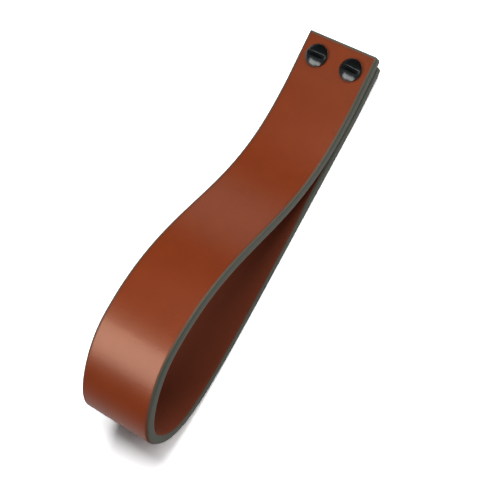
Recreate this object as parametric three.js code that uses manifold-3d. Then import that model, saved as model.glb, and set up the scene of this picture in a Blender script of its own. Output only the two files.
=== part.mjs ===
// Leather loop pull for a cabinet or drawer: one thick leather strap folded back into a loop.
// Its two ends lie on each other and are held by two pairs of a slotted screw and a post.
// Millimetres, in the pull's lying position: +X from the cut ends to the bend, +Y across the
// strap, +Z up. The origin is the middle of the footprint, on the surface that the pull lies on.

import * as THREE from 'three';
import { mergeVertices } from 'three/addons/utils/BufferGeometryUtils.js';
import Module from 'manifold-3d';

// The strap
const STRAP_WIDTH = 32;
const STRAP_THICKNESS = 4.8;
const EDGE_ROUNDING = 0.8;
const CORNER_RADIUS = 1.5;
const LAYER_GAP = 0.3;

// The loop that it is folded into
const LOOP_LENGTH = 174;
const LOOP_HEIGHT = 52;
const LOWER_END_SETBACK = 2.5;
const CLOSED_STRETCH = 2.5;
const CROWN_BEFORE_BEND = 35;
const BEND_TIP_HEIGHT = 26;
const LANDING_BEFORE_BEND = 69;

// How full each stretch of the curve is: a circle's quarter would have 0.55
const RISE_FULLNESS = 0.455;
const CROWN_FULLNESS = 0.43;
const UNDER_FULLNESS = 0.8;

// The fastened end, tipped up because the posts' caps are under it
const END_TILT_DEG = 6.5;
const KNEE_REACH = 6;
const SCREW_FROM_END = 8.8;
const SCREW_FROM_SIDE = 8;
const SEAT_GAP = 0.3;

// The screws
const HEAD_DIAMETER = 9.5;
const HEAD_RIM = 0.7;
const HEAD_DOME = 2;
const SLOT_WIDTH = 1.6;
const SLOT_DEPTH = 1.3;
const SLOT_TURN_DEG = [0, -3];
const SHANK_DIAMETER = 3;
const SHANK_END_CLEARANCE = 1.2;
const SHANK_CHAMFER = 0.4;

// The posts
const CAP_DIAMETER = 9.5;
const CAP_THICKNESS = 0.8;
const CAP_CHAMFER = 0.25;
const CAP_CLEARANCE = 0.2;
const THREAD_CLEARANCE = 0.3;
const POST_WALL = 0.7;
const POST_END_CLEARANCE = 0.5;
const HOLE_CLEARANCE = 0.3;

// How finely curves are divided
const RISE_STEPS = 24;
const BEND_STEPS = 18;
const KNEE_STEPS = 6;
const EDGE_STEPS = 3;
const CORNER_STEPS = 6;
const ROUND_STEPS = 40;
const DOME_STEPS = 7;

// Points nearer than this are one point
const WELD_DISTANCE = 1e-4;

const leather = new THREE.MeshStandardMaterial({ color: 0x84391d, roughness: 0.5, metalness: 0 });
const blackEnamel = new THREE.MeshStandardMaterial({ color: 0x16181a, roughness: 0.2, metalness: 0.3 });

const wasm = await Module();
wasm.setup();

// Booleans on closed geometries
function toSolid(geometry) {
  const bare = geometry.clone();
  bare.deleteAttribute('normal');
  bare.deleteAttribute('uv');
  const merged = mergeVertices(bare, WELD_DISTANCE);
  return new wasm.Manifold(new wasm.Mesh({
    numProp: 3,
    vertProperties: new Float32Array(merged.attributes.position.array),
    triVerts: new Uint32Array(merged.index.array),
  }));
}

function toGeometry(solid) {
  const { vertProperties, triVerts } = solid.getMesh();
  const geometry = new THREE.BufferGeometry();
  geometry.setAttribute('position', new THREE.BufferAttribute(vertProperties, 3));
  geometry.setIndex(new THREE.BufferAttribute(triVerts, 1));
  geometry.computeVertexNormals();
  return geometry;
}

function cut(geometry, ...tools) {
  return toGeometry(tools.reduce((solid, tool) => solid.subtract(toSolid(tool)), toSolid(geometry)));
}

// Sizes that follow from the ones above
const tilt = THREE.MathUtils.degToRad(END_TILT_DEG);
const stackThickness = 2 * STRAP_THICKNESS + LAYER_GAP;
const boreDiameter = SHANK_DIAMETER + 2 * THREAD_CLEARANCE;
const barrelDiameter = boreDiameter + 2 * POST_WALL;
const holeDiameter = barrelDiameter + 2 * HOLE_CLEARANCE;
const barrelLength = stackThickness + 2 * SEAT_GAP - POST_END_CLEARANCE;
const shankLength = barrelLength + POST_END_CLEARANCE - SHANK_END_CLEARANCE;

// Height of the strap's back face at the screws: the caps' lowest edges stay just clear of the
// surface, so that the strap's flat back carries the pull
const lowestEdge = CAP_DIAMETER / 2 - CAP_CHAMFER;
const seatHeight = (SEAT_GAP + CAP_THICKNESS) * Math.cos(tilt) + lowestEdge * Math.sin(tilt)
  + CAP_CLEARANCE;

// The side view is drawn in x and height, with x measured from the upper layer's cut end.
// The back face runs down a straight slope, round a knee and then along the surface.
const upSlope = new THREE.Vector2(-Math.cos(tilt), Math.sin(tilt));
const cutEndLean = (STRAP_THICKNESS + LAYER_GAP) * Math.sin(tilt);
const seat = new THREE.Vector2(SCREW_FROM_END * Math.cos(tilt) - cutEndLean, seatHeight);
const kneeCorner = new THREE.Vector2(seat.x + seatHeight / Math.tan(tilt), 0);
const kneeStart = kneeCorner.clone().addScaledVector(upSlope, KNEE_REACH);
const kneeEnd = new THREE.Vector2(kneeCorner.x + KNEE_REACH, 0);
const parting = new THREE.Vector2(kneeEnd.x + CLOSED_STRETCH, 0);

// A curve's places, each with the direction that is square to the curve, on its left
function placesAlong(curve, steps) {
  return Array.from({ length: steps + 1 }, (_, i) => {
    const tangent = curve.getTangent(i / steps);
    return { point: curve.getPoint(i / steps), left: new THREE.Vector2(-tangent.y, tangent.x) };
  });
}

function offset(places, distance) {
  return places.map(({ point, left }) => point.clone().addScaledVector(left, distance));
}

// Joins runs of points, leaving out a point that the run before has already
function joinRuns(...runs) {
  return runs.flat().filter((point, i, all) => i === 0
    || point.distanceTo(all[i - 1]) > 10 * WELD_DISTANCE);
}

// The back face from a layer's cut end to where the two layers part
function backFace(setback) {
  const cutEnd = seat.clone().addScaledVector(upSlope, SCREW_FROM_END - setback);
  return [
    ...placesAlong(new THREE.LineCurve(cutEnd, kneeStart), 1),
    ...placesAlong(new THREE.QuadraticBezierCurve(kneeStart, kneeCorner, kneeEnd), KNEE_STEPS),
    ...placesAlong(new THREE.LineCurve(kneeEnd, parting), 1),
  ];
}

// A quarter turn or an S between two places: each handle is a share of the way between them
function bendBetween(from, fromWay, to, toWay, fullness) {
  const reach = to.clone().sub(from);
  const handle = (way) => way.clone().multiply(reach).multiplyScalar(fullness);
  return new THREE.CubicBezierCurve(from, from.clone().add(handle(fromWay)),
    to.clone().sub(handle(toWay)), to);
}

// The strap's centre line past the fastened end: up to the crown, round the bend and back down
const LEVEL = new THREE.Vector2(1, 0);
const UPRIGHT = new THREE.Vector2(0, 1);
const half = STRAP_THICKNESS / 2;
const leaving = new THREE.Vector2(parting.x, stackThickness - half);
const crown = new THREE.Vector2(LOOP_LENGTH - CROWN_BEFORE_BEND, LOOP_HEIGHT - half);
const bendTip = new THREE.Vector2(LOOP_LENGTH - half, BEND_TIP_HEIGHT);
const landing = new THREE.Vector2(LOOP_LENGTH - LANDING_BEFORE_BEND, half);
const openLoop = [
  ...placesAlong(bendBetween(leaving, LEVEL, crown, LEVEL, RISE_FULLNESS), RISE_STEPS),
  ...placesAlong(bendBetween(crown, LEVEL, bendTip, UPRIGHT, CROWN_FULLNESS), BEND_STEPS),
  ...placesAlong(bendBetween(bendTip, UPRIGHT, landing, LEVEL, UNDER_FULLNESS), BEND_STEPS),
];

function strapOutline() {
  const upper = backFace(0);
  const lower = backFace(LOWER_END_SETBACK);
  const outside = joinRuns(offset(upper, stackThickness), offset(openLoop, half),
    offset(lower, 0).reverse());
  const inside = joinRuns(offset(lower, STRAP_THICKNESS), offset(openLoop, -half).reverse(),
    offset(upper, STRAP_THICKNESS + LAYER_GAP).reverse());
  return new THREE.Shape([...outside, ...inside]);
}

// Everything at the fastened end is made level, with its origin on the back face at the middle
// between the screws, and then tipped with that face
const tippedEnd = new THREE.Matrix4().makeRotationY(tilt).setPosition(seat.x, 0, seat.y);

function screwPlaces() {
  const across = STRAP_WIDTH / 2 - SCREW_FROM_SIDE;
  return [-1, 1].map((side) => new THREE.Vector3(0, side * across, 0));
}

function holeTools() {
  const length = 3 * stackThickness;
  return screwPlaces().map(({ y }) => new THREE.CylinderGeometry(holeDiameter / 2,
    holeDiameter / 2, length, ROUND_STEPS).rotateX(Math.PI / 2).translate(0, y, 0)
    .applyMatrix4(tippedEnd));
}

// What is taken off one corner of a layer to round it, seen from above: a square less a quarter
// disc, with a little over outside the strap
function cornerTool(side, setback, bottom, top) {
  const r = CORNER_RADIUS;
  const over = r;
  const shape = new THREE.Shape();
  shape.moveTo(-over, r);
  shape.lineTo(0, r);
  shape.absarc(r, r, r, Math.PI, 1.5 * Math.PI);
  shape.lineTo(r, -over);
  shape.lineTo(-over, -over);
  const tool = new THREE.ExtrudeGeometry(shape, {
    depth: top - bottom, bevelEnabled: false, curveSegments: CORNER_STEPS,
  });
  tool.translate(setback - SCREW_FROM_END, -STRAP_WIDTH / 2, bottom);
  if (side > 0) tool.rotateX(Math.PI).translate(0, 0, bottom + top);
  return tool.applyMatrix4(tippedEnd);
}

function cornerTools() {
  const seam = STRAP_THICKNESS + LAYER_GAP / 2;
  return [-1, 1].flatMap((side) => [
    cornerTool(side, 0, seam, 2 * stackThickness),
    cornerTool(side, LOWER_END_SETBACK, -stackThickness, seam),
  ]);
}

function leatherStrap() {
  const folded = new THREE.ExtrudeGeometry(strapOutline(), {
    depth: STRAP_WIDTH - 2 * EDGE_ROUNDING,
    bevelThickness: EDGE_ROUNDING,
    bevelSize: EDGE_ROUNDING,
    bevelOffset: -EDGE_ROUNDING,
    bevelSegments: EDGE_STEPS,
  });
  folded.translate(0, 0, -(STRAP_WIDTH / 2 - EDGE_ROUNDING)).rotateX(Math.PI / 2);
  const strap = new THREE.Mesh(cut(folded, ...holeTools(), ...cornerTools()), leather);
  strap.name = 'leather_strap';
  return strap;
}

// A turned piece's geometry, its profile drawn as radius and height, standing on its axis +Z
function turned(profile) {
  const points = profile.map(([radius, height]) => new THREE.Vector2(radius, height));
  return new THREE.LatheGeometry(points, ROUND_STEPS).rotateX(Math.PI / 2);
}

// The dome over the rim, an arc of the ball that passes through the rim's top and the crown
function domeProfile() {
  const rimRadius = HEAD_DIAMETER / 2;
  const ballRadius = (rimRadius ** 2 + HEAD_DOME ** 2) / (2 * HEAD_DOME);
  const sweep = Math.asin(Math.min(1, rimRadius / ballRadius));
  return Array.from({ length: DOME_STEPS + 1 }, (_, i) => {
    const angle = sweep * (1 - i / DOME_STEPS);
    return [ballRadius * Math.sin(angle), HEAD_RIM + HEAD_DOME + ballRadius * (Math.cos(angle) - 1)];
  });
}

function slottedScrew(turnDeg) {
  const shank = SHANK_DIAMETER / 2;
  const blank = turned([
    [0, -shankLength],
    [shank - SHANK_CHAMFER, -shankLength],
    [shank, SHANK_CHAMFER - shankLength],
    [shank, 0],
    [HEAD_DIAMETER / 2, 0],
    ...domeProfile().slice(0, -1),
    [0, HEAD_RIM + HEAD_DOME],
  ]);
  const slot = new THREE.BoxGeometry(SLOT_WIDTH, 2 * HEAD_DIAMETER, 2 * SLOT_DEPTH);
  slot.rotateZ(THREE.MathUtils.degToRad(turnDeg)).translate(0, 0, HEAD_RIM + HEAD_DOME);
  return cut(blank, slot);
}

function post() {
  const cap = CAP_DIAMETER / 2;
  const barrel = barrelDiameter / 2;
  const bore = boreDiameter / 2;
  return turned([
    [0, -CAP_THICKNESS],
    [cap - CAP_CHAMFER, -CAP_THICKNESS],
    [cap, CAP_CHAMFER - CAP_THICKNESS],
    [cap, 0],
    [barrel, 0],
    [barrel, barrelLength],
    [bore, barrelLength],
    [bore, 0],
    [0, 0],
  ]);
}

function fasteners() {
  const group = new THREE.Group();
  group.applyMatrix4(tippedEnd);
  screwPlaces().forEach((place, i) => {
    const screw = new THREE.Mesh(slottedScrew(SLOT_TURN_DEG[i]), blackEnamel);
    screw.name = `screw_${i + 1}`;
    screw.position.copy(place).setZ(stackThickness + SEAT_GAP);
    const back = new THREE.Mesh(post(), blackEnamel);
    back.name = `post_${i + 1}`;
    back.position.copy(place).setZ(-SEAT_GAP);
    group.add(screw, back);
  });
  return group;
}

const group = new THREE.Group();
group.add(leatherStrap(), fasteners());

// The origin goes to the middle of the footprint
const middle = new THREE.Box3().setFromObject(group, true).getCenter(new THREE.Vector3());
group.position.x = -middle.x;
group.updateMatrixWorld(true);

export default group;
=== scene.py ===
# %% [markdown]
# # A leather loop pull
#
# The object is a pull for a drawer or a cabinet door. One thick leather strap is folded back
# into a loop, and two slotted screws clamp its ends together. It lies on a white table.
#
# This lesson cuts the strap flat, as a leather worker does, and only then folds it. After that
# come the screws and posts, the finishes, the table, the light and the camera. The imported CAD
# part gives the frame.

# %% Load the frame
import math

import bmesh
import bpy
import numpy as np
from mathutils import Matrix, Vector
from mathutils.geometry import interpolate_bezier


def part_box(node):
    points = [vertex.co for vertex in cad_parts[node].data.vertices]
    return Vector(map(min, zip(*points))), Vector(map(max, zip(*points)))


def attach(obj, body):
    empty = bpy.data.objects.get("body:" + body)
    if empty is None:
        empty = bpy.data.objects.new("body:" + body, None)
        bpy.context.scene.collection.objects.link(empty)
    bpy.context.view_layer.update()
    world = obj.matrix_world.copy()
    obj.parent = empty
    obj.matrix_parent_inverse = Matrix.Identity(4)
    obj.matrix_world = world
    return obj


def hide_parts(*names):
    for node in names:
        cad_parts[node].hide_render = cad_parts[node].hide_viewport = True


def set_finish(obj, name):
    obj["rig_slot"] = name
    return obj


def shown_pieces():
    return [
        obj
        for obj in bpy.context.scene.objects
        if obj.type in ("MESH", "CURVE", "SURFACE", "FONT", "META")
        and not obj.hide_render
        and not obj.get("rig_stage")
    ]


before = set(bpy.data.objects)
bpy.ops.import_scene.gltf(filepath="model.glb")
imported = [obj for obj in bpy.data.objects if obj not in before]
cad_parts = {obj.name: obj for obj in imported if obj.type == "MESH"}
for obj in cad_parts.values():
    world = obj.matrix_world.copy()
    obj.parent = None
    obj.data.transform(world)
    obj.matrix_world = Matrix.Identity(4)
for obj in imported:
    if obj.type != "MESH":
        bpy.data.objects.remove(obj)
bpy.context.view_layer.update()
print("CAD nodes:", sorted(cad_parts))

# %% [markdown]
# ## Sizes
#
# Blender works in metres, and leather work in millimetres, so sizes are written in millimetres
# times `MM`. They repeat those of the CAD source, except at the rims: here the edges are rounded
# more, and the two corners on the far side are clipped less. The side view is drawn in x and
# height, with x measured from the cut end of the upper layer.

# %% Sizes of the strap and of the loop
MM = 0.001

STRAP_WIDTH = 32 * MM
STRAP_THICKNESS = 4.8 * MM
EDGE_ROUNDING = 1.2 * MM
CORNER_RADIUS = 1.5 * MM
FAR_CORNER_RADIUS = 0.6 * MM
LAYER_GAP = 0.3 * MM

LOOP_LENGTH = 174 * MM
LOOP_HEIGHT = 52 * MM
LOWER_END_SETBACK = 2.5 * MM
CLOSED_STRETCH = 2.5 * MM
CROWN_BEFORE_BEND = 35 * MM
BEND_TIP_HEIGHT = 26 * MM
LANDING_BEFORE_BEND = 69 * MM
RISE_FULLNESS = 0.455
CROWN_FULLNESS = 0.43
UNDER_FULLNESS = 0.8

END_TILT = math.radians(6.5)
KNEE_REACH = 6 * MM
SCREW_FROM_END = 8.8 * MM
SCREW_FROM_SIDE = 8 * MM
SEAT_GAP = 0.3 * MM
CAP_DIAMETER = 9.5 * MM
CAP_THICKNESS = 0.8 * MM
CAP_CHAMFER = 0.25 * MM
CAP_CLEARANCE = 0.2 * MM

STACK = 2 * STRAP_THICKNESS + LAYER_GAP
HALF = STRAP_THICKNESS / 2
print("two layers are", round(STACK / MM, 2), "mm thick")

# %% [markdown]
# ## The fold, seen from the side
#
# The fold is one line through the middle of the leather's thickness. It runs down the fastened
# end, up to the crown, round the bend and back under to the other cut end. Bezier curves
# suit it because bent leather has no sharp change of curve. Each handle is a share of
# the way between two knots. The line is sampled finely, so that a place on it can be looked up
# by the length of leather before it.

# %% Knots of the fold
SAMPLES = 400


def side_point(x, height):
    return Vector((x, 0, height))


lowest_edge = CAP_DIAMETER / 2 - CAP_CHAMFER
seat_height = ((SEAT_GAP + CAP_THICKNESS) * math.cos(END_TILT)
               + lowest_edge * math.sin(END_TILT) + CAP_CLEARANCE)
seat_x = SCREW_FROM_END * math.cos(END_TILT) - (STRAP_THICKNESS + LAYER_GAP) * math.sin(END_TILT)
seat = side_point(seat_x, seat_height)
up_slope = side_point(-math.cos(END_TILT), math.sin(END_TILT))
knee_corner = side_point(seat_x + seat_height / math.tan(END_TILT), 0)
knee_start = knee_corner + up_slope * KNEE_REACH
knee_end = knee_corner + side_point(KNEE_REACH, 0)
parting = knee_end + side_point(CLOSED_STRETCH, 0)
print("the layers part", round(parting.x / MM, 1), "mm from the cut end")

# %% Curves between the knots
LEVEL = Vector((1, 0, 0))
UPRIGHT = Vector((0, 0, 1))
SAME_PLACE = 1e-9


def along(first, last):
    """Sample a straight stretch."""
    return [first.lerp(last, i / SAMPLES) for i in range(SAMPLES + 1)]


def bend_between(first, first_way, last, last_way, fullness):
    """Sample a quarter turn or an S between two knots."""
    reach = last - first
    leave = first + first_way * reach.dot(first_way) * fullness
    arrive = last - last_way * reach.dot(last_way) * fullness
    return interpolate_bezier(first, leave, arrive, last, SAMPLES + 1)


def knee():
    """Sample the gentle bend at the foot of the fastened end."""
    leave = knee_start.lerp(knee_corner, 2 / 3)
    arrive = knee_end.lerp(knee_corner, 2 / 3)
    return interpolate_bezier(knee_start, leave, arrive, knee_end, SAMPLES + 1)


def as_rows(points):
    """Keep x and height of the points, without repeats."""
    rows = np.array([(p.x, p.z) for p in points])
    steps = np.linalg.norm(np.diff(rows, axis=0), axis=1)
    return rows[np.concatenate(([True], steps > SAME_PLACE))]


def left_of(rows):
    """Unit directions square to the line, on the left of the way it runs."""
    ways = np.gradient(rows, axis=0)
    ways /= np.linalg.norm(ways, axis=1)[:, None]
    return np.stack((-ways[:, 1], ways[:, 0]), axis=1)


def fastened_layer(setback, height):
    """Sample one layer at the fastened end, at a height over the back face."""
    cut_end = seat + up_slope * (SCREW_FROM_END - setback)
    rows = as_rows(along(cut_end, knee_start) + knee() + along(knee_end, parting))
    return rows + left_of(rows) * height


# %% The whole fold in one line
leaving = side_point(parting.x, STACK - HALF)
crown = side_point(LOOP_LENGTH - CROWN_BEFORE_BEND, LOOP_HEIGHT - HALF)
bend_tip = side_point(LOOP_LENGTH - HALF, BEND_TIP_HEIGHT)
landing = side_point(LOOP_LENGTH - LANDING_BEFORE_BEND, HALF)

open_loop = as_rows(
    bend_between(leaving, LEVEL, crown, LEVEL, RISE_FULLNESS)
    + bend_between(crown, LEVEL, bend_tip, UPRIGHT, CROWN_FULLNESS)
    + bend_between(bend_tip, UPRIGHT, landing, LEVEL, UNDER_FULLNESS)
)
fold = np.concatenate((
    fastened_layer(0, STACK - HALF),
    open_loop[1:],
    fastened_layer(LOWER_END_SETBACK, HALF)[::-1],
))
fold -= (LOOP_LENGTH / 2, 0)
fold_left = left_of(fold)
fold_steps = np.linalg.norm(np.diff(fold, axis=0), axis=1)
fold_length = np.concatenate(([0], np.cumsum(fold_steps)))
STRAP_LENGTH = float(fold_length[-1])
print("the strap is cut", round(STRAP_LENGTH / MM, 1), "mm long")

# %% [markdown]
# ## Cutting the strap flat
#
# A strap is cut from a flat hide, its corners are clipped round, and its edges are rounded and
# painted before it is folded. The same order works here: a rectangle is bevelled at its
# corners, extruded to the leather's thickness and bevelled along both rims. X is the length of
# leather from the upper cut end, and Z is the height over the middle of the thickness.

# %% A blank with round corners and rounded edges
RIM_SEGMENTS = 6
CORNER_SEGMENTS = 8
TINY = 1e-7


def strap_blank():
    blank = bmesh.new()
    bmesh.ops.create_grid(blank, x_segments=1, y_segments=1, size=0.5)
    bmesh.ops.scale(blank, vec=(STRAP_LENGTH, STRAP_WIDTH, 1), verts=blank.verts)
    bmesh.ops.translate(blank, vec=(STRAP_LENGTH / 2, 0, -HALF), verts=blank.verts)
    near_corners = [v for v in blank.verts if v.co.y > 0]
    far_corners = [v for v in blank.verts if v.co.y < 0]
    for corners, radius in ((near_corners, CORNER_RADIUS), (far_corners, FAR_CORNER_RADIUS)):
        bmesh.ops.bevel(blank, geom=corners, affect="VERTICES", offset=radius,
                        segments=CORNER_SEGMENTS, profile=0.5, material=-1)
    grown = bmesh.ops.extrude_face_region(blank, geom=blank.faces[:], use_keep_orig=True)
    raised = [g for g in grown["geom"] if isinstance(g, bmesh.types.BMVert)]
    bmesh.ops.translate(blank, vec=(0, 0, STRAP_THICKNESS), verts=raised)
    bmesh.ops.recalc_face_normals(blank, faces=blank.faces)
    rims = [e for e in blank.edges if abs(e.verts[0].co.z - e.verts[1].co.z) < TINY]
    bmesh.ops.bevel(blank, geom=rims, affect="EDGES", offset=EDGE_ROUNDING,
                    segments=RIM_SEGMENTS, profile=0.5, material=-1)
    return blank


strap_mesh = strap_blank()
print("blank has", len(strap_mesh.faces), "faces")

# %% [markdown]
# ## Lines to fold along
#
# A face can't bend, so the blank is cut across at many stations first. They stand closer where
# the fold turns fast. A few cuts along the strap keep the shading flat beside the rounded rim.

# %% Cuts across and along
LONGEST_CELL = 2 * MM
MOST_TURN = math.radians(2.5)
RIM_HOLD = 0.35 * MM
MIDDLE_CUTS = 7


def stations():
    """Lengths at which the strap is cut across."""
    found = [0.0]
    last = 0
    for i in range(1, len(fold)):
        turn = math.acos(min(1, float(fold_left[i] @ fold_left[last])))
        if fold_length[i] - found[-1] > LONGEST_CELL or turn > MOST_TURN:
            found.append(float(fold_length[i]))
            last = i
    return found[1:]


def cut_at(mesh, place, normal):
    geometry = mesh.verts[:] + mesh.edges[:] + mesh.faces[:]
    bmesh.ops.bisect_plane(mesh, geom=geometry, dist=TINY, plane_co=place, plane_no=normal)


inner_half = STRAP_WIDTH / 2 - EDGE_ROUNDING - RIM_HOLD
inner_start = EDGE_ROUNDING + RIM_HOLD
for across in np.linspace(-inner_half, inner_half, MIDDLE_CUTS):
    cut_at(strap_mesh, (0, across, 0), (0, 1, 0))
for length in [inner_start] + stations() + [STRAP_LENGTH - inner_start]:
    cut_at(strap_mesh, (length, 0, 0), (1, 0, 0))
print("cut strap has", len(strap_mesh.faces), "faces")

# %% [markdown]
# ## Punching the screw holes
#
# The holes are punched through both ends while the strap is flat. A Boolean modifier does it,
# as there is no bmesh operator for a punch, and the result is read back from the evaluated mesh.

# %% Holes through both ends
HOLE_DIAMETER = 5.6 * MM
HOLE_SEGMENTS = 48
SCREW_ACROSS = STRAP_WIDTH / 2 - SCREW_FROM_SIDE


def new_object(name, mesh):
    """Turn a bmesh into an object in the scene."""
    data = bpy.data.meshes.new(name)
    mesh.to_mesh(data)
    mesh.free()
    made = bpy.data.objects.new(name, data)
    bpy.context.scene.collection.objects.link(made)
    return made


def subtract(piece, tool):
    """Cut the tool's volume out of the piece, and remove the tool."""
    modifier = piece.modifiers.new("punch", "BOOLEAN")
    modifier.operation = "DIFFERENCE"
    modifier.solver = "EXACT"
    modifier.object = tool
    bpy.context.view_layer.update()
    seen = piece.evaluated_get(bpy.context.evaluated_depsgraph_get())
    result = bpy.data.meshes.new_from_object(seen)
    piece.modifiers.clear()
    piece.data = result
    bpy.data.objects.remove(tool)


def punch(length, across):
    """A round tool that is longer than the leather is thick."""
    tool = bmesh.new()
    bmesh.ops.create_cone(tool, cap_ends=True, segments=HOLE_SEGMENTS,
                          radius1=HOLE_DIAMETER / 2, radius2=HOLE_DIAMETER / 2,
                          depth=2 * STRAP_THICKNESS)
    bmesh.ops.translate(tool, vec=(length, across, 0), verts=tool.verts)
    return new_object("punch", tool)


strap = new_object("leather_loop", strap_mesh)
lower_hole = STRAP_LENGTH - (SCREW_FROM_END - LOWER_END_SETBACK)
for length in (SCREW_FROM_END, lower_hole):
    for across in (-SCREW_ACROSS, SCREW_ACROSS):
        subtract(strap, punch(length, across))
print("punched strap has", len(strap.data.polygons), "faces")

# %% [markdown]
# ## Folding the strap
#
# Each point keeps its place across the strap. Its length picks a place on the fold, and its
# height moves it square to the fold there. Before that, the flat place is stored on the mesh,
# so that the finish can follow the leather: the grain doesn't care how a strap is folded.
# The distance from the rim is stored too, because the edge paint follows it.

# %% Remember the flat places
flat = np.empty(len(strap.data.vertices) * 3)
strap.data.vertices.foreach_get("co", flat)
flat = flat.reshape(-1, 3)


def distance_from_rim(places):
    """How far a flat place is inside the outline, round its corners too."""
    radius = np.where(places[:, 1] > 0, CORNER_RADIUS, FAR_CORNER_RADIUS)
    past_x = np.abs(places[:, 0] - STRAP_LENGTH / 2) - (STRAP_LENGTH / 2 - radius)
    past_y = np.abs(places[:, 1]) - (STRAP_WIDTH / 2 - radius)
    outside = np.hypot(np.maximum(past_x, 0), np.maximum(past_y, 0))
    return radius - outside - np.minimum(np.maximum(past_x, past_y), 0)


flat_place = strap.data.attributes.new("flat_place", "FLOAT_VECTOR", "POINT")
flat_place.data.foreach_set("vector", flat.astype(np.float32).ravel())
from_rim = strap.data.attributes.new("from_rim", "FLOAT", "POINT")
from_rim.data.foreach_set("value", distance_from_rim(flat).astype(np.float32))
print("flat strap is", np.round(np.ptp(flat, axis=0) / MM, 2), "mm")

# %% Fold it
SMOOTH_BELOW = math.radians(35)


def folded(places):
    """Carry flat places onto the fold."""
    found = []
    for column in (fold[:, 0], fold[:, 1], fold_left[:, 0], fold_left[:, 1]):
        found.append(np.interp(places[:, 0], fold_length, column))
    x, height, left_x, left_height = found
    grow = 1 / np.hypot(left_x, left_height)
    off = places[:, 2] * grow
    return np.stack((x + left_x * off, places[:, 1], height + left_height * off), axis=1)


strap.data.vertices.foreach_set("co", folded(flat).ravel())
strap.data.update()
strap.data.shade_smooth()
strap.data.set_sharp_from_angle(angle=SMOOTH_BELOW)
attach(strap, "root")
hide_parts("leather_strap")
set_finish(strap, "leather")
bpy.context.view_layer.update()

# %% [markdown]
# ## The screws
#
# Each screw has a low dome over a short upright rim, and a slot across it. A turned piece is
# made on a lathe, and spin is Blender's lathe: a profile of radius and height goes once round
# the axis. The slot is milled afterwards, so it is a Boolean again.
#
# The enamel rounds the slot's edges, and that shows as a thin light line. A Bevel modifier
# would have to cross the many small faces of the dome, so the dome is cut along the slot
# instead, and sunk beside it in a quarter round, before the slot is milled. The milling tool is
# a hair wider than the innermost cuts, so that it leaves no sliver beside them.

# %% Turned profiles
HEAD_DIAMETER = 9.5 * MM
HEAD_RIM = 0.7 * MM
HEAD_DOME = 2 * MM
HEAD_HEIGHT = HEAD_RIM + HEAD_DOME
RIM_FILLET = 0.25 * MM
SHANK_DIAMETER = 3 * MM
SHANK_END_CLEARANCE = 1.2 * MM
SHANK_CHAMFER = 0.4 * MM
POST_END_CLEARANCE = 0.5 * MM
TURN_STEPS = 96
WELD = 1e-6
FILLET_STEPS = 5
DOME_STEPS = 18

barrel_length = STACK + 2 * SEAT_GAP - POST_END_CLEARANCE
shank_length = barrel_length + POST_END_CLEARANCE - SHANK_END_CLEARANCE


def arc(centre_radius, centre_height, radius, first, last, steps):
    """Points on an arc, its angles in degrees from outwards to up."""
    angles = [math.radians(first + (last - first) * i / steps) for i in range(steps + 1)]
    return [(centre_radius + radius * math.cos(a), centre_height + radius * math.sin(a))
            for a in angles]


def turned(profile):
    """Spin a profile of radius and height once round the axis."""
    mesh = bmesh.new()
    points = [mesh.verts.new((radius, 0, height)) for radius, height in profile]
    lines = [mesh.edges.new(pair) for pair in zip(points, points[1:])]
    bmesh.ops.spin(mesh, geom=points + lines, cent=(0, 0, 0), axis=(0, 0, 1), dvec=(0, 0, 0),
                   angle=2 * math.pi, steps=TURN_STEPS, use_merge=True)
    bmesh.ops.remove_doubles(mesh, verts=mesh.verts, dist=WELD)
    bmesh.ops.recalc_face_normals(mesh, faces=mesh.faces)
    return mesh


def screw_profile():
    head = HEAD_DIAMETER / 2
    shank = SHANK_DIAMETER / 2
    inner = head - RIM_FILLET
    ball = (head ** 2 + HEAD_DOME ** 2) / (2 * HEAD_DOME)
    ball_height = HEAD_HEIGHT - ball
    rise = math.sqrt((ball - RIM_FILLET) ** 2 - inner ** 2)
    meeting = math.degrees(math.atan2(rise, inner))
    under = arc(inner, RIM_FILLET - SEAT_GAP, RIM_FILLET, -90, 0, FILLET_STEPS)
    rim_top = arc(inner, ball_height + rise, RIM_FILLET, 0, meeting, FILLET_STEPS)
    dome = arc(0, ball_height, ball, meeting, 90, DOME_STEPS)
    return [(0, -shank_length), (shank - SHANK_CHAMFER, -shank_length),
            (shank, SHANK_CHAMFER - shank_length), (shank, -SEAT_GAP),
            *under, *rim_top, *dome[1:]]


print("the screw profile has", len(screw_profile()), "points")

# %% Round the slot's edges
SLOT_WIDTH = 1.6 * MM
SLOT_DEPTH = 1.3 * MM
SLOT_TURNS = (0, math.radians(-3))
SLOT_ROUNDING = 0.35 * MM
ROUNDING_STEPS = 5


def round_slot_edges(screw_mesh, turn):
    """Sink the dome beside the slot, less and less where the slot runs out."""
    across = Vector((math.cos(turn), math.sin(turn), 0))
    for i in range(ROUNDING_STEPS + 1):
        inwards = 1 - math.sin(math.pi / 2 * i / ROUNDING_STEPS)
        offset = SLOT_WIDTH / 2 + SLOT_ROUNDING * inwards
        cut_at(screw_mesh, across * offset, across)
        cut_at(screw_mesh, across * -offset, across)
    floor_height = HEAD_HEIGHT - SLOT_DEPTH
    for vert in screw_mesh.verts:
        deep = min(1, max(0, (vert.co.z - floor_height) / SLOT_ROUNDING))
        beside = abs(vert.co.dot(across)) - SLOT_WIDTH / 2
        near = min(1, max(0, 1 - beside / SLOT_ROUNDING))
        vert.co.z -= SLOT_ROUNDING * deep * (1 - math.sqrt(1 - near ** 2))


print("the slots' edges are rounded by", SLOT_ROUNDING / MM, "mm")

# %% Mill the slots and put the screws in place
TOOL_CLEARANCE = 0.004 * MM

seat_in_row = Matrix.Translation(seat - side_point(LOOP_LENGTH / 2, 0))
tipped_end = seat_in_row @ Matrix.Rotation(END_TILT, 4, "Y")


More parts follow.
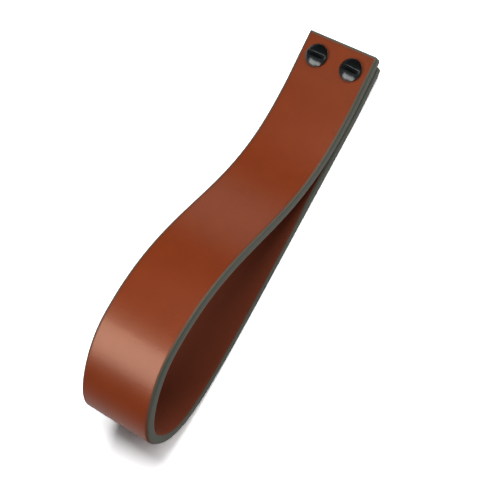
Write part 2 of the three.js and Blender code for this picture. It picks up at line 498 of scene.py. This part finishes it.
def slot_tool(turn):
    tool = bmesh.new()
    bmesh.ops.create_cube(tool, size=1)
    size = (SLOT_WIDTH + 2 * TOOL_CLEARANCE, 2 * HEAD_DIAMETER, 2 * SLOT_DEPTH)
    bmesh.ops.scale(tool, vec=size, verts=tool.verts)
    bmesh.ops.rotate(tool, cent=(0, 0, 0), matrix=Matrix.Rotation(turn, 3, "Z"), verts=tool.verts)
    bmesh.ops.translate(tool, vec=(0, 0, HEAD_HEIGHT), verts=tool.verts)
    return new_object("slot", tool)


def set_in_place(piece, across, height, node):
    """Move a piece's mesh to the fastened end, and let it stand for its CAD node."""
    piece.data.transform(tipped_end @ Matrix.Translation((0, across, height)))
    piece.data.shade_smooth()
    piece.data.set_sharp_from_angle(angle=SMOOTH_BELOW)
    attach(piece, "root")
    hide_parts(node)
    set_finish(piece, "black_enamel")
    low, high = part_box(node)
    print(node, "CAD box", [round(v / MM, 2) for v in (*low, *high)])


for number, turn in enumerate(SLOT_TURNS, 1):
    screw_mesh = turned(screw_profile())
    round_slot_edges(screw_mesh, turn)
    screw = new_object(f"slotted_screw_{number}", screw_mesh)
    subtract(screw, slot_tool(turn))
    across = SCREW_ACROSS * (2 * number - 3)
    set_in_place(screw, across, STACK + SEAT_GAP, f"screw_{number}")

# %% [markdown]
# ## The posts
#
# A post comes up from the back for each screw: a thin flat cap, and a barrel that the screw
# goes into. They are turned pieces too, with their bore in the same profile. Their sharp edges
# are few and far apart, so here a Bevel modifier does break them.

# %% Turn the posts
SHANK_CLEARANCE = 0.3 * MM
POST_WALL = 0.7 * MM
CAP_FILLET = 0.3 * MM
POST_BREAK = 0.2 * MM
BREAK_ABOVE = math.radians(38)


def post_profile():
    cap = CAP_DIAMETER / 2
    bore = SHANK_DIAMETER / 2 + SHANK_CLEARANCE
    barrel = bore + POST_WALL
    edge = arc(cap - CAP_FILLET, CAP_FILLET - CAP_THICKNESS, CAP_FILLET, -90, 0, FILLET_STEPS)
    return [(0, -CAP_THICKNESS), *edge, (cap, SEAT_GAP), (barrel, SEAT_GAP),
            (barrel, barrel_length), (bore, barrel_length), (bore, 0), (0, 0)]


def break_edges(piece, width):
    """Round the sharp edges of a piece."""
    modifier = piece.modifiers.new("broken_edges", "BEVEL")
    modifier.width = width
    modifier.segments = 3
    modifier.limit_method = "ANGLE"
    modifier.angle_limit = BREAK_ABOVE


for number in (1, 2):
    post = new_object(f"back_post_{number}", turned(post_profile()))
    break_edges(post, POST_BREAK)
    across = SCREW_ACROSS * (2 * number - 3)
    set_in_place(post, across, -SEAT_GAP, f"post_{number}")

# %% [markdown]
# ## Helpers for the finishes
#
# Colours are written as sRGB hex values, as a picture shows them, and one function turns them
# to the linear values that Blender computes with. One more adds a node with its settings and
# links, and a third starts a material.

# %% Colour and node helpers
def colour(hex_value):
    """An sRGB hex value as linear RGBA."""
    found = []
    for shift in (16, 8, 0):
        value = ((hex_value >> shift) & 255) / 255
        found.append(value / 12.92 if value <= 0.04045 else ((value + 0.055) / 1.055) ** 2.4)
    return (*found, 1)


def add(tree, kind, inputs=None, **settings):
    """Add a node. An input is a value, or the output of another node to link."""
    made = tree.nodes.new(kind)
    for name, value in settings.items():
        setattr(made, name, value)
    for name, value in (inputs or {}).items():
        if isinstance(value, bpy.types.NodeSocket):
            tree.links.new(value, made.inputs[name])
        else:
            made.inputs[name].default_value = value
    return made


def finish(name):
    """A new material: its node tree, its main shader, and the material."""
    material = bpy.data.materials.new(name)
    material.use_nodes = True
    tree = material.node_tree
    return tree, tree.nodes["Principled BSDF"], material


# The sockets of a Mix node that mixes colours
FACTOR, COLOUR_A, COLOUR_B, MIXED = 0, 6, 7, 2
print("a middle grey is", round(colour(0x808080)[0], 3), "in linear light")

# %% [markdown]
# ## Vegetable-tanned leather with painted edges
#
# The strap is vegetable-tanned cowhide, dyed brown, pressed smooth and waxed. The wax gives it
# a soft sheen. Its dye takes a little unevenly, in cloudy patches about a centimetre
# across, and its surface has fine pores and creases. Real pores are about 0.2 mm, too fine for
# the picture, so they are drawn at about 0.7 mm.
#
# The inner side is the flesh side, which is duller. The cut edges are sealed with a grey-black
# edge paint, laid on by hand, so that its border is soft and wanders a little. It reaches less
# onto the inner side between the ends, and onto the tip of the bend, where the outer side is
# stretched. Just beside it the wax is rubbed dull, and the brown is darkened as painted shade on
# the rounded rim.

# %% The leather's colour
LEATHER_BROWN = 0x8a350c
LEATHER_CLOUD = 0x85320b
FLESH_BROWN = 0x753019
# The brown beside the edge is painted shade: it darkens the rounded rim and dims its highlight.
RIM_PAINTED_SHADE_BROWN = 0x672a10
CLOUD_SIZE = 9 * MM
RIM_SHADE = 0.9
RIM_SHADE_FROM = 0.7 * MM
RIM_SHADE_TO = 2.2 * MM

tree, leather_shader, leather = finish("vegetable_tanned_leather")
flat_node = add(tree, "ShaderNodeAttribute", attribute_name="flat_place")
rim_node = add(tree, "ShaderNodeAttribute", attribute_name="from_rim")
strap_place = flat_node.outputs["Vector"]
from_rim = rim_node.outputs["Fac"]

clouds = add(tree, "ShaderNodeTexNoise",
             {"Vector": strap_place, "Scale": 1 / CLOUD_SIZE, "Detail": 4, "Roughness": 0.6})
cloud_share = add(tree, "ShaderNodeMapRange",
                  {"Value": clouds.outputs["Fac"], "From Min": 0.35, "From Max": 0.65})
brown = add(tree, "ShaderNodeMix",
            {FACTOR: cloud_share.outputs["Result"], COLOUR_A: colour(LEATHER_BROWN),
             COLOUR_B: colour(LEATHER_CLOUD)}, data_type="RGBA")
# Painted shade: the brown darkens towards the rim across this band.
painted_rim_shade = add(tree, "ShaderNodeMapRange",
               {"Value": from_rim, "From Min": RIM_SHADE_FROM, "From Max": RIM_SHADE_TO,
                "To Min": RIM_SHADE, "To Max": 0}, interpolation_type="SMOOTHSTEP")
rim_shaded_brown = add(tree, "ShaderNodeMix",
             {FACTOR: painted_rim_shade.outputs["Result"], COLOUR_A: brown.outputs[MIXED],
              COLOUR_B: colour(RIM_PAINTED_SHADE_BROWN)}, data_type="RGBA")
print("leather clouds repeat about every", round(CLOUD_SIZE / MM), "mm")

# %% The flesh side and the pores
FLESH_LAYER = 0.7 * MM
FLESH_ALONE = 0.2 * MM
PORE_SIZE = 0.7 * MM
PORE_SHARE = 0.35

split = add(tree, "ShaderNodeSeparateXYZ", {"Vector": strap_place})
flesh = add(tree, "ShaderNodeMapRange",
            {"Value": split.outputs["Z"], "From Min": -HALF + FLESH_LAYER,
             "From Max": -HALF + FLESH_ALONE}, interpolation_type="SMOOTHSTEP")
skin = add(tree, "ShaderNodeMix",
           {FACTOR: flesh.outputs["Result"], COLOUR_A: rim_shaded_brown.outputs[MIXED],
            COLOUR_B: colour(FLESH_BROWN)}, data_type="RGBA")
grain = add(tree, "ShaderNodeTexNoise",
            {"Vector": strap_place, "Scale": 1 / PORE_SIZE, "Detail": 3, "Roughness": 0.55})
pores = add(tree, "ShaderNodeTexVoronoi",
            {"Vector": strap_place, "Scale": 1 / PORE_SIZE, "Randomness": 1})
pore_pits = add(tree, "ShaderNodeMapRange",
                {"Value": pores.outputs["Distance"], "From Min": 0, "From Max": PORE_SHARE})
relief = add(tree, "ShaderNodeMath",
             {0: grain.outputs["Fac"], 1: pore_pits.outputs["Result"]}, operation="ADD")
print("pores are drawn", PORE_SIZE / MM, "mm apart")

# %% How far the paint reaches on the outer side
PAINT_REACH = 0.78 * MM
STRETCHED_REACH = 0.25 * MM
STRETCHED_WITHIN = 8 * MM
SLACK_BEYOND = 32 * MM

bend_tip_length = float(fold_length[np.argmax(fold[:, 0])])
past_bend = add(tree, "ShaderNodeMath",
                {0: split.outputs["X"], 1: bend_tip_length}, operation="SUBTRACT")
from_bend = add(tree, "ShaderNodeMath", {0: past_bend.outputs["Value"]}, operation="ABSOLUTE")
outer_reach = add(tree, "ShaderNodeMapRange",
                  {"Value": from_bend.outputs["Value"], "From Min": STRETCHED_WITHIN,
                   "From Max": SLACK_BEYOND, "To Min": STRETCHED_REACH, "To Max": PAINT_REACH},
                  interpolation_type="SMOOTHSTEP")
print("the tip of the bend is", round(bend_tip_length / MM), "mm along the strap")

# %% How far it reaches on the inner side
CLAMPED_WITHIN = 55 * MM
OPEN_BEYOND = 80 * MM
INNER_BORDER = 0.5 * MM

past_middle = add(tree, "ShaderNodeMath",
                  {0: split.outputs["X"], 1: STRAP_LENGTH / 2}, operation="SUBTRACT")
from_middle = add(tree, "ShaderNodeMath", {0: past_middle.outputs["Value"]},
                  operation="ABSOLUTE")
inner_reach = add(tree, "ShaderNodeMapRange",
                  {"Value": from_middle.outputs["Value"],
                   "From Min": STRAP_LENGTH / 2 - OPEN_BEYOND,
                   "From Max": STRAP_LENGTH / 2 - CLAMPED_WITHIN,
                   "To Min": 0, "To Max": PAINT_REACH}, interpolation_type="SMOOTHSTEP")
reach = add(tree, "ShaderNodeMapRange",
            {"Value": split.outputs["Z"], "From Min": -HALF + INNER_BORDER,
             "From Max": -HALF + EDGE_ROUNDING, "To Min": inner_reach.outputs["Result"],
             "To Max": outer_reach.outputs["Result"]})
print("edge paint reaches up to", PAINT_REACH / MM, "mm onto the faces")

# %% The painted edge
PAINT_GREY = 0x485951
PAINT_WANDER = 0.15 * MM
WANDER_SIZE = 1.5 * MM
PAINT_SOFTNESS = 0.25 * MM

wander = add(tree, "ShaderNodeTexNoise",
             {"Vector": strap_place, "Scale": 1 / WANDER_SIZE, "Detail": 2})
border = add(tree, "ShaderNodeMath",
             {0: wander.outputs["Fac"], 1: PAINT_WANDER, 2: reach.outputs["Result"]},
             operation="MULTIPLY_ADD")
inside_border = add(tree, "ShaderNodeMath",
                    {0: from_rim, 1: border.outputs["Value"]}, operation="SUBTRACT")
paint = add(tree, "ShaderNodeMapRange",
            {"Value": inside_border.outputs["Value"], "From Min": PAINT_SOFTNESS,
             "From Max": -PAINT_SOFTNESS})
painted = add(tree, "ShaderNodeMix",
              {FACTOR: paint.outputs["Result"], COLOUR_A: skin.outputs[MIXED],
               COLOUR_B: colour(PAINT_GREY)}, data_type="RGBA")
print("its border wanders by", PAINT_WANDER / MM, "mm")

# %% Gloss and relief of both finishes
WAXED_ROUGHNESS = 0.33
FLESH_ROUGHNESS = 0.9
PAINT_ROUGHNESS = 0.5
RUBBED_SHARE = 0.7
RUBBED_WITHIN = 0.9 * MM
WAXED_BEYOND = 1.5 * MM
PAINTED_RELIEF = 0.35
RELIEF_DEPTH = 0.02 * MM

rubbed = add(tree, "ShaderNodeMapRange",
             {"Value": from_rim, "From Min": RUBBED_WITHIN, "From Max": WAXED_BEYOND,
              "To Min": RUBBED_SHARE, "To Max": 0}, interpolation_type="SMOOTHSTEP")
dullness = add(tree, "ShaderNodeMath",
               {0: flesh.outputs["Result"], 1: rubbed.outputs["Result"]}, operation="MAXIMUM")
leather_gloss = add(tree, "ShaderNodeMapRange",
                    {"Value": dullness.outputs["Value"], "To Min": WAXED_ROUGHNESS,
                     "To Max": FLESH_ROUGHNESS})
gloss = add(tree, "ShaderNodeMix",
            {FACTOR: paint.outputs["Result"], 2: leather_gloss.outputs["Result"],
             3: PAINT_ROUGHNESS}, data_type="FLOAT")
relief_share = add(tree, "ShaderNodeMapRange",
                   {"Value": paint.outputs["Result"], "To Min": 1, "To Max": PAINTED_RELIEF})
raised = add(tree, "ShaderNodeMath",
             {0: relief.outputs["Value"], 1: relief_share.outputs["Result"]},
             operation="MULTIPLY")
bump = add(tree, "ShaderNodeBump",
           {"Height": raised.outputs["Value"], "Distance": RELIEF_DEPTH, "Strength": 1})
finish_links = {"Base Color": painted.outputs[MIXED], "Roughness": gloss.outputs[0],
                "Normal": bump.outputs["Normal"]}
for socket, output in finish_links.items():
    tree.links.new(output, leather_shader.inputs[socket])
leather_shader.inputs["IOR"].default_value = 1.6
leather_shader.inputs["Specular IOR Level"].default_value = 0.75
leather_shader.inputs["Specular Tint"].default_value = (1, 0.66, 0.48, 1)
strap.data.materials.clear()
strap.data.materials.append(leather)
print("leather material has", len(tree.nodes), "nodes")

# %% [markdown]
# ## Gloss black enamel
#
# The screws and posts are steel with a baked black enamel. Enamel is a smooth, hard paint: a
# near-black colour under a clear gloss, with a faint orange-peel ripple from the baking, about
# a millimetre across. Handling leaves faint smears that dull it here and there.

# %% Enamel on the screws and posts
ENAMEL_BLACK = 0x1b1f20
RIPPLE_SIZE = 0.9 * MM
RIPPLE_DEPTH = 0.0025 * MM
SMEAR_SIZE = 2.5 * MM
CLEAN_ROUGHNESS = 0.14
SMEARED_ROUGHNESS = 0.24

tree, enamel_shader, enamel = finish("gloss_black_enamel")
place = add(tree, "ShaderNodeTexCoord")
ripple = add(tree, "ShaderNodeTexNoise",
             {"Vector": place.outputs["Object"], "Scale": 1 / RIPPLE_SIZE, "Detail": 1})
smears = add(tree, "ShaderNodeTexNoise",
             {"Vector": place.outputs["Object"], "Scale": 1 / SMEAR_SIZE, "Detail": 3})
dull = add(tree, "ShaderNodeMapRange",
           {"Value": smears.outputs["Fac"], "From Min": 0.3, "From Max": 0.7,
            "To Min": CLEAN_ROUGHNESS, "To Max": SMEARED_ROUGHNESS})
peel = add(tree, "ShaderNodeBump",
           {"Height": ripple.outputs["Fac"], "Distance": RIPPLE_DEPTH, "Strength": 1})
enamel_shader.inputs["Base Color"].default_value = colour(ENAMEL_BLACK)
enamel_shader.inputs["IOR"].default_value = 1.5
enamel_shader.inputs["Specular IOR Level"].default_value = 0.1
enamel_shader.inputs["Coat Weight"].default_value = 1
enamel_shader.inputs["Coat IOR"].default_value = 1.5
enamel_shader.inputs["Coat Roughness"].default_value = 0.26
tree.links.new(dull.outputs["Result"], enamel_shader.inputs["Roughness"])
tree.links.new(peel.outputs["Normal"], enamel_shader.inputs["Normal"])
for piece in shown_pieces():
    if piece.get("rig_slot") == "black_enamel":
        piece.data.materials.clear()
        piece.data.materials.append(enamel)
        print("enamelled", piece.name)

# %% [markdown]
# ## The white table
# The pull lies on a white table. The camera sees a brighter white than the other rays, so that
# the picture's ground is white while the light on the object stays as it is, and only the deep
# shadow under the bend is left in it. Far from the pull the camera sees plain white, so that
# the table has no visible end. The light that bounces off the table finds it grey. For gloss the
# table's colour holds a painted pool of light: paler near the pull and darker further off, as a
# lamp over the table would light it.

# %% Table
TABLE_HALF = 2.0
TABLE_DROP = 0.02 * MM
TABLE_WHITE = 0.26
MIRRORED_WHITE = 0.48
SEEN_WHITE = 1.6
# Outside the radius the table's colour for gloss drops: a painted pool of light round the pull.
PAINTED_POOL_OUTSIDE_WHITE = 0.3
PAINTED_POOL_RADIUS = 0.17
PAINTED_POOL_FADED_RADIUS = 0.24

table_mesh = bmesh.new()
bmesh.ops.create_grid(table_mesh, x_segments=1, y_segments=1, size=TABLE_HALF)
bmesh.ops.translate(table_mesh, vec=(0, 0, -TABLE_DROP), verts=table_mesh.verts)
table = new_object("table", table_mesh)
table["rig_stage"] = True

tree, table_shader, table_white = finish("white_table")
rays = add(tree, "ShaderNodeLightPath")
mirrored = add(tree, "ShaderNodeMath",
               {0: rays.outputs["Is Glossy Ray"], 1: rays.outputs["Is Transmission Ray"]},
               operation="MAXIMUM")
mirrored_white = add(tree, "ShaderNodeMapRange",
                     {"Value": mirrored.outputs["Value"], "To Min": TABLE_WHITE,
                      "To Max": MIRRORED_WHITE})
spot = add(tree, "ShaderNodeTexCoord")
from_pull = add(tree, "ShaderNodeVectorMath", {0: spot.outputs["Object"]}, operation="LENGTH")
# Painted pool of light: the table's colour for gloss and bounce changes with distance from the
# pull; beyond it the camera sees plain white.
pool_and_backdrop_fade = add(tree, "ShaderNodeMapRange",
            {"Value": from_pull.outputs["Value"], "From Min": PAINTED_POOL_RADIUS,
             "From Max": PAINTED_POOL_FADED_RADIUS}, interpolation_type="SMOOTHSTEP")
painted_pool_white = add(tree, "ShaderNodeMapRange",
                  {"Value": pool_and_backdrop_fade.outputs["Result"],
                   "To Min": mirrored_white.outputs["Result"], "To Max": PAINTED_POOL_OUTSIDE_WHITE})
white = add(tree, "ShaderNodeMapRange",
            {"Value": rays.outputs["Is Camera Ray"],
             "To Min": painted_pool_white.outputs["Result"], "To Max": SEEN_WHITE})
far_and_seen = add(tree, "ShaderNodeMath",
                   {0: pool_and_backdrop_fade.outputs["Result"], 1: rays.outputs["Is Camera Ray"]},
                   operation="MULTIPLY")
paper = add(tree, "ShaderNodeBsdfDiffuse", {"Color": white.outputs["Result"]})
plain_white = add(tree, "ShaderNodeEmission", {"Strength": 1})
table_top = add(tree, "ShaderNodeMixShader",
                {0: far_and_seen.outputs["Value"], 1: paper.outputs["BSDF"],
                 2: plain_white.outputs["Emission"]})
tree.links.new(table_top.outputs["Shader"], tree.nodes["Material Output"].inputs["Surface"])
tree.nodes.remove(table_shader)
table.data.materials.append(table_white)
print("table is", 2 * TABLE_HALF, "m wide")

# %% [markdown]
# ## Light
#
# The main lamp stands high over the fastened end. A tall one past the bend puts the long
# highlight on it. Two dim ones, one low past the cut ends and one on the near side, give the
# rise its sheen. A lamp is set by its direction from the pull, its width and height as seen from
# there, and the brightness of its face. The room around is nearly dark, but the camera sees it
# as plain white.
#
# In a studio each material is often lit on its own, so that the table can be white without
# flattening the leather, and gloss gets its highlight just where it is wanted. Light linking
# does that here, in three groups. The leather has the four lamps above. The enamel has a wide
# one past the bend and a small one from the near side, which make the bright shapes on the
# domes. The table has two from above, and the pull still casts its shadow in their light.

# %% World and lamps
ROOM_BRIGHTNESS = 0.05
LAMP_DISTANCE = 1.2

world = bpy.data.worlds.new("studio")
bpy.context.scene.world = world
world.use_nodes = True
backdrop = world.node_tree
rays = add(backdrop, "ShaderNodeLightPath")
backdrop_white = add(backdrop, "ShaderNodeMapRange",
                     {"Value": rays.outputs["Is Camera Ray"], "To Min": ROOM_BRIGHTNESS,
                      "To Max": 1})
sky = backdrop.nodes["Background"]
sky.inputs["Color"].default_value = (1, 1, 1, 1)
backdrop.links.new(backdrop_white.outputs["Result"], sky.inputs["Strength"])

on_leather = bpy.data.collections.new("lit_by_leather_lamps")
on_enamel = bpy.data.collections.new("lit_by_enamel_lamps")
on_table = bpy.data.collections.new("lit_by_table_lamps")
on_table.objects.link(table)
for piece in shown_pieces():
    lit = on_leather if piece == strap else on_enamel
    lit.objects.link(piece)


def soft_lamp(name, towards, degrees, brightness, lights, upwards=(0, 0, 1), away=LAMP_DISTANCE):
    """A lamp that faces the pull, so many degrees wide and high as seen from it."""
    light = bpy.data.lights.new(name, "AREA")
    light.shape = "RECTANGLE"
    light.size, light.size_y = [2 * away * math.tan(math.radians(d / 2)) for d in degrees]
    light.energy = brightness * math.pi * light.size * light.size_y
    lamp = bpy.data.objects.new(name, light)
    way = Vector(towards).normalized()
    side = Vector(upwards).cross(way).normalized()
    turn = Matrix((side, way.cross(side), way)).transposed()
    place = way * away + Vector((0, 0, LOOP_HEIGHT / 2))
    lamp.matrix_world = Matrix.Translation(place) @ turn.to_4x4()
    lamp.light_linking.receiver_collection = lights
    bpy.context.scene.collection.objects.link(lamp)
    print(name, "energy", round(light.energy, 2), "W")


soft_lamp("over_softbox", (-0.4, 0.1, 0.9), (26, 26), 7.2, on_leather)
soft_lamp("bend_softbox", (0.51, -0.38, 0.77), (28, 42), 4.6, on_leather,
          upwards=(-0.87, 0, 0.5), away=0.64)
soft_lamp("near_softbox", (-0.6, 0.55, 0.58), (34, 30), 1.5, on_leather)
soft_lamp("end_softbox", (-1, -0.03, 0.16), (72, 18), 1.0, on_leather)
soft_lamp("glint_softbox", (0.87, -0.1, 0.48), (80, 36), 5.6, on_enamel)
soft_lamp("side_glint_softbox", (-0.15, 0.6, 0.78), (14, 34), 3.0, on_enamel)
soft_lamp("table_softbox", (-0.45, 0, 0.89), (32, 32), 11.4, on_table)
soft_lamp("near_table_softbox", (-0.35, 0.5, 0.79), (36, 36), 4.0, on_table)

# %% [markdown]
# ## Camera
#
# The camera looks down steeply from the near side, turned so that the pull lies from the lower
# left to the upper right. Its place was found by fitting known points of the part to the
# photograph, which also gives the lens.

# %% Camera
CAMERA_PLACE = Vector((22.96, 189.03, 449.0)) * MM
LOOK = Vector((-0.0431, -0.3947, -0.9178))
PICTURE_RIGHT = Vector((-0.4779, 0.8149, -0.3280))
LENS = 90.2

lens = bpy.data.cameras.new("camera")
lens.lens = LENS
lens.sensor_width = 36
camera = bpy.data.objects.new("camera", lens)
right = (PICTURE_RIGHT - LOOK * PICTURE_RIGHT.dot(LOOK)).normalized()
up = right.cross(LOOK.normalized())
turn = Matrix((right, up, -LOOK.normalized())).transposed()
camera.matrix_world = Matrix.Translation(CAMERA_PLACE) @ turn.to_4x4()
bpy.context.scene.collection.objects.link(camera)
bpy.context.scene.camera = camera
bpy.context.scene.view_settings.view_transform = "Standard"
print("camera is", round((CAMERA_PLACE - Vector((0, 0, LOOP_HEIGHT / 2))).length, 3), "m away")
